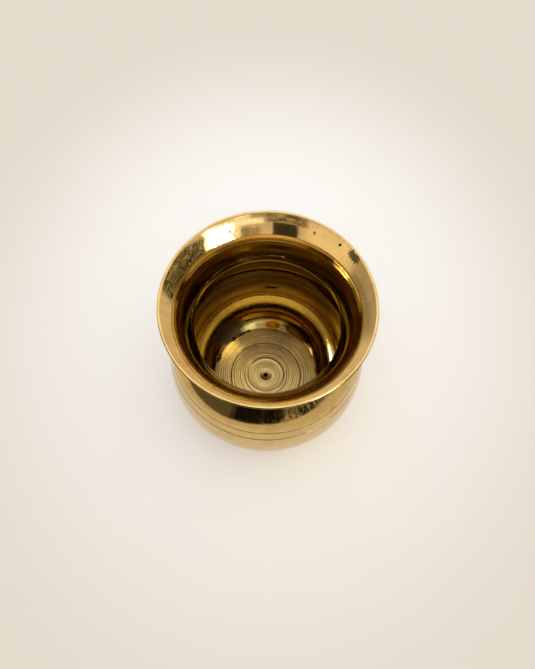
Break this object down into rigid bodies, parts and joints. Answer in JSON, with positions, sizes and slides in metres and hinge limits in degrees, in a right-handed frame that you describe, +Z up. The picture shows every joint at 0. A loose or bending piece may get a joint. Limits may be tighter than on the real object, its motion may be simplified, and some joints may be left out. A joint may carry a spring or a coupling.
{
  "type": "lota water pot",
  "caption": "Small round brass lota: a flared trumpet mouth on a narrow neck, sloping shoulder, low rounded belly and flat turned base.",
  "frame": {"origin": "centre of the underside of the base, on the pot's axis", "axes": "+Z up along the pot's axis; X and Y are free because the pot is round"},
  "size_m": [0.1036, 0.1036, 0.096],
  "materials": {
    "rim_brass": "turned and polished, fine scratches",
    "shoulder_brass": "turned and polished, fine scratches",
    "bowl_brass": "turned and polished, fine scratches",
    "floor_brass": "lathe-turned rings, unpolished, a little darkened",
    "neck_solder": "silvery solder specks in a browned seam",
    "belly_solder": "blackened solder",
    "base_solder": "blackened solder"
  },
  "bodies": {
    "root": {"rim_and_neck": "rim_brass", "shoulder": "shoulder_brass", "bowl": "bowl_brass", "base": "floor_brass", "neck_solder": "neck_solder", "belly_solder": "belly_solder", "base_solder": "base_solder"}
  },
  "joints": []
}
